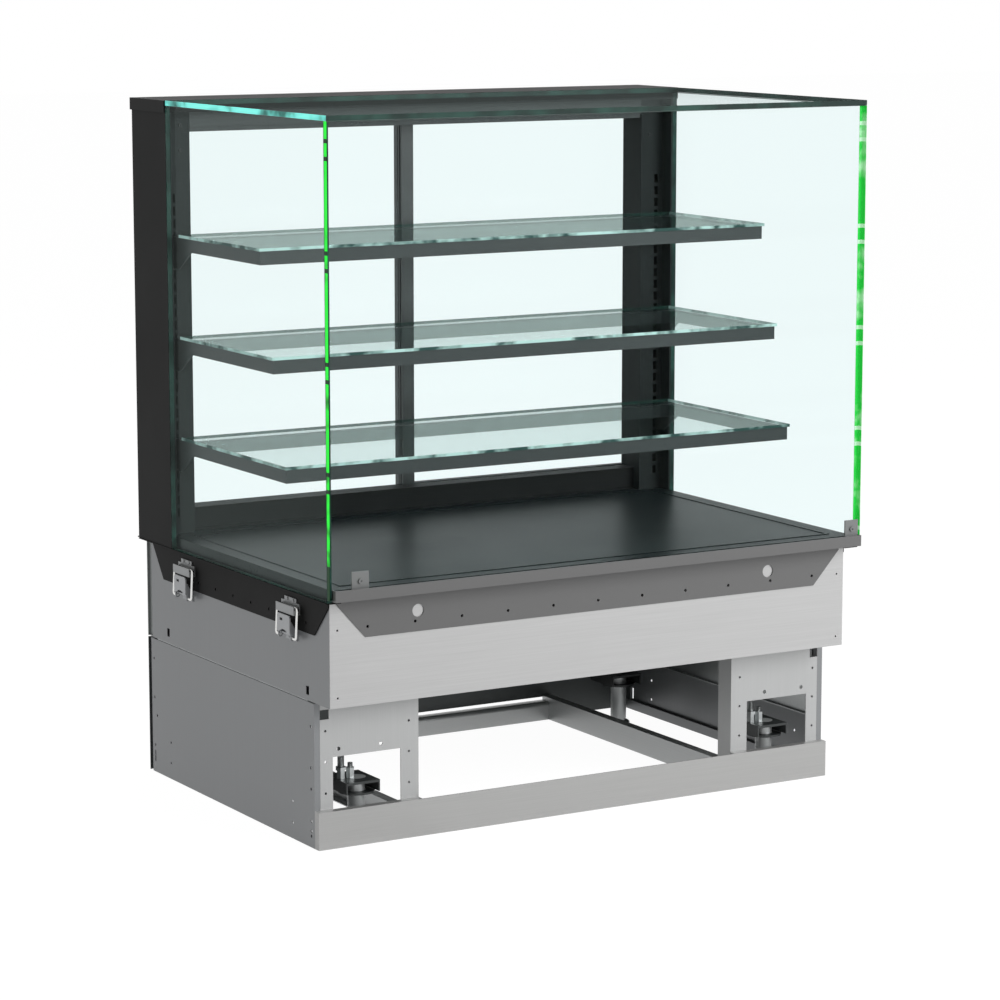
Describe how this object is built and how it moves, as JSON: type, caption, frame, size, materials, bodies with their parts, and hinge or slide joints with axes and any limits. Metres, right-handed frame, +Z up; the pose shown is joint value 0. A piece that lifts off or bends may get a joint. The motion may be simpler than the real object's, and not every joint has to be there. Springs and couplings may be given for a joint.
{
  "type": "ambient display case",
  "caption": "Glass display case with stepped glass shelves, sliding rear doors, draw latches and a levelled stainless base for a shop counter.",
  "frame": {"origin": "centre of the bounding box footprint, on the floor", "axes": "+X along the length to the viewer's right as seen from the customer side, +Y from the customer side to the rear doors, +Z up"},
  "size_m": [1.213, 0.861, 1.387],
  "materials": {
    "stainless": "brushed stainless sheet",
    "galvanised": "plain zinc coated sheet inside and at the back",
    "black_coat": "matte black powder coat",
    "dark_coat": "satin black powder coat",
    "deck_gloss": "glossy dark coated deck",
    "door_aluminium": "black anodised door section",
    "door_glass": "clear float glass",
    "clear_glass": "clear float glass with green edges",
    "clamp_steel": "grey coated clamp plate",
    "shelf_coat": "dark grey powder coat",
    "bright_steel": "bright plated steel",
    "zinc": "zinc plated steel"
  },
  "bodies": {
    "case": {"band_front": "stainless", "band_left": "stainless", "band_rear": "galvanised", "band_right": "stainless", "base_side_left": "stainless", "base_side_right": "stainless", "bay_panel_left": "stainless", "bay_panel_right": "stainless", "body_pan": "galvanised", "deck": "deck_gloss", "door_track_bottom": "black_coat", "door_track_top": "black_coat", "front_apron": "dark_coat", "glass_clamps": "clamp_steel", "glass_front": "clear_glass", "glass_left": "clear_glass", "glass_right": "clear_glass", "glass_top": "clear_glass", "header": "black_coat", "inner_rail_left": "stainless", "inner_rail_right": "stainless", "kick_band": "stainless", "latch_bases": "bright_steel", "latch_keepers": "bright_steel", "leveller_brackets": "zinc", "leveller_nuts": "zinc", "leveller_rods": "zinc", "post_left": "black_coat", "post_right": "black_coat", "post_screws": "black_coat", "rear_base_panel": "galvanised", "rear_rail": "stainless", "shelf_frame_bottom": "shelf_coat", "shelf_frame_middle": "shelf_coat", "shelf_frame_top": "shelf_coat", "shelf_glass_bottom": "clear_glass", "shelf_glass_middle": "clear_glass", "shelf_glass_top": "clear_glass", "side_apron_left": "black_coat", "side_apron_right": "black_coat", "side_stiffeners": "galvanised", "sill": "black_coat", "top_cap": "black_coat"},
    "door_left": {"door_frame_left": "door_aluminium", "door_pane_left": "door_glass"},
    "door_right": {"door_frame_right": "door_aluminium", "door_pane_right": "door_glass"},
    "lever_left_front": {"latch_lever_left_front": "bright_steel"},
    "loop_left_front": {"latch_loop_left_front": "bright_steel"},
    "lever_left_rear": {"latch_lever_left_rear": "bright_steel"},
    "loop_left_rear": {"latch_loop_left_rear": "bright_steel"},
    "foot_left_front": {"levelling_foot_left_front": "zinc"},
    "foot_left_rear": {"levelling_foot_left_rear": "zinc"},
    "lever_right_front": {"latch_lever_right_front": "bright_steel"},
    "loop_right_front": {"latch_loop_right_front": "bright_steel"},
    "lever_right_rear": {"latch_lever_right_rear": "bright_steel"},
    "loop_right_rear": {"latch_loop_right_rear": "bright_steel"},
    "foot_right_front": {"levelling_foot_right_front": "zinc"},
    "foot_right_rear": {"levelling_foot_right_rear": "zinc"}
  },
  "joints": [
    {"name": "door_left_slide", "type": "slide", "parent": "case", "child": "door_left", "axis": [1, 0, 0], "range_m": [0, 0.54]},
    {"name": "door_right_slide", "type": "slide", "parent": "case", "child": "door_right", "axis": [1, 0, 0], "range_m": [-0.54, 0]},
    {"name": "lever_left_front_turn", "type": "hinge", "parent": "case", "child": "lever_left_front", "pos_m": [-0.599, -0.2325, 0.404], "axis": [0, -1, 0], "range_deg": [0, 120]},
    {"name": "loop_left_front_turn", "type": "hinge", "parent": "lever_left_front", "child": "loop_left_front", "pos_m": [-0.60004, -0.2325, 0.39809], "axis": [0, -1, 0], "range_deg": [-112, 0]},
    {"name": "lever_left_rear_turn", "type": "hinge", "parent": "case", "child": "lever_left_rear", "pos_m": [-0.599, 0.2255, 0.404], "axis": [0, -1, 0], "range_deg": [0, 120]},
    {"name": "loop_left_rear_turn", "type": "hinge", "parent": "lever_left_rear", "child": "loop_left_rear", "pos_m": [-0.60004, 0.2255, 0.39809], "axis": [0, -1, 0], "range_deg": [-112, 0]},
    {"name": "foot_left_front_slide", "type": "slide", "parent": "case", "child": "foot_left_front", "axis": [0, 0, -1], "range_m": [0, 0.03]},
    {"name": "foot_left_rear_slide", "type": "slide", "parent": "case", "child": "foot_left_rear", "axis": [0, 0, -1], "range_m": [0, 0.03]},
    {"name": "lever_right_front_turn", "type": "hinge", "parent": "case", "child": "lever_right_front", "pos_m": [0.599, -0.2325, 0.404], "axis": [0, 1, 0], "range_deg": [0, 120]},
    {"name": "loop_right_front_turn", "type": "hinge", "parent": "lever_right_front", "child": "loop_right_front", "pos_m": [0.60004, -0.2325, 0.39809], "axis": [0, 1, 0], "range_deg": [-112, 0]},
    {"name": "lever_right_rear_turn", "type": "hinge", "parent": "case", "child": "lever_right_rear", "pos_m": [0.599, 0.2255, 0.404], "axis": [0, 1, 0], "range_deg": [0, 120]},
    {"name": "loop_right_rear_turn", "type": "hinge", "parent": "lever_right_rear", "child": "loop_right_rear", "pos_m": [0.60004, 0.2255, 0.39809], "axis": [0, 1, 0], "range_deg": [-112, 0]},
    {"name": "foot_right_front_slide", "type": "slide", "parent": "case", "child": "foot_right_front", "axis": [0, 0, -1], "range_m": [0, 0.03]},
    {"name": "foot_right_rear_slide", "type": "slide", "parent": "case", "child": "foot_right_rear", "axis": [0, 0, -1], "range_m": [0, 0.03]}
  ],
  "couplings": [
    {"joint": "loop_left_front_turn", "follows": "lever_left_front_turn", "ratio": -0.93},
    {"joint": "loop_left_rear_turn", "follows": "lever_left_rear_turn", "ratio": -0.93},
    {"joint": "loop_right_front_turn", "follows": "lever_right_front_turn", "ratio": -0.93},
    {"joint": "loop_right_rear_turn", "follows": "lever_right_rear_turn", "ratio": -0.93}
  ]
}
